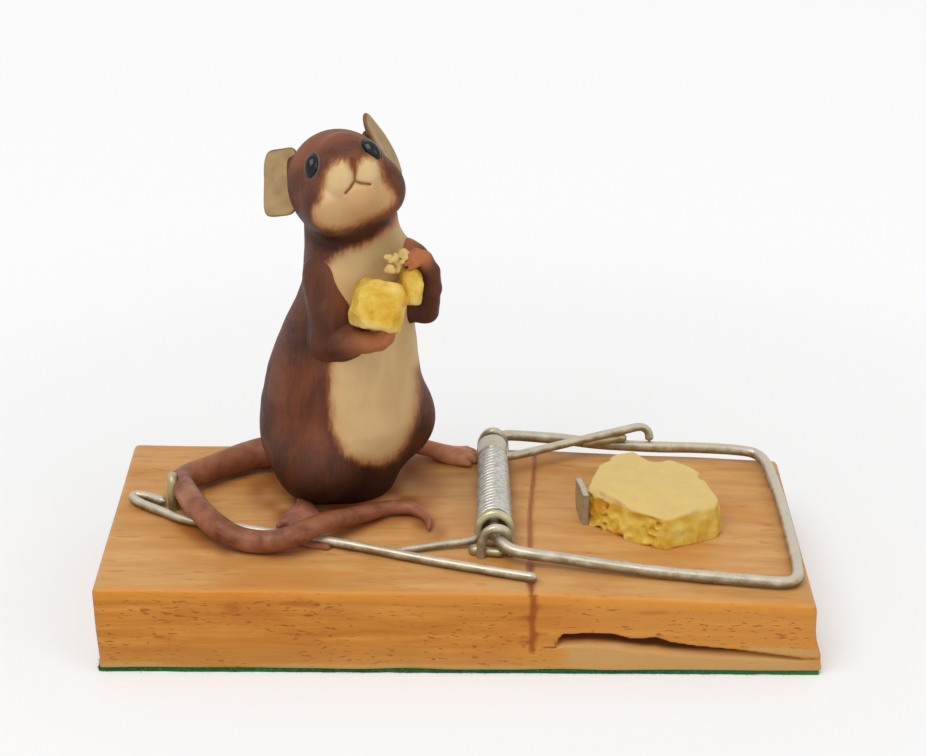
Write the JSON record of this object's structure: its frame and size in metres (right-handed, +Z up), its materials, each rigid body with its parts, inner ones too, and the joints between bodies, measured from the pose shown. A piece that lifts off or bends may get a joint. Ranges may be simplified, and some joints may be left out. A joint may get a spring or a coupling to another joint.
{
  "type": "mouse figurine",
  "caption": "Seated mouse holding cheese on a small wooden snap-trap base with wire hoop, wound spring and bait",
  "frame": {"origin": "centre of the underside of the felt under the board", "axes": "+X along the board towards the bait end, +Y towards the back edge, +Z up"},
  "size_m": [0.0988, 0.045, 0.0693],
  "materials": {
    "board": "satin",
    "felt": "matte",
    "wire": "satin",
    "spring": "satin",
    "cheese": "satin",
    "fur": "satin",
    "skin": "satin",
    "eye": "gloss"
  },
  "bodies": {
    "root": {"base_block": "board", "felt_pad": "felt", "hammer_bail": "wire", "spring_core": "wire", "torsion_spring": "spring", "near_staple": "wire", "far_staple": "wire", "arming_rod": "wire", "rod_staple": "wire", "bait_strip": "wire", "bait_cheese": "cheese", "mouse_torso": "fur", "mouse_head": "fur", "left_ear": "fur", "right_ear": "fur", "left_eye": "eye", "right_eye": "eye", "left_arm": "fur", "right_arm": "fur", "left_thigh": "fur", "right_thigh": "fur", "left_foot": "skin", "right_foot": "skin", "tail": "skin", "left_cheese": "cheese", "right_cheese": "cheese"}
  },
  "joints": []
}
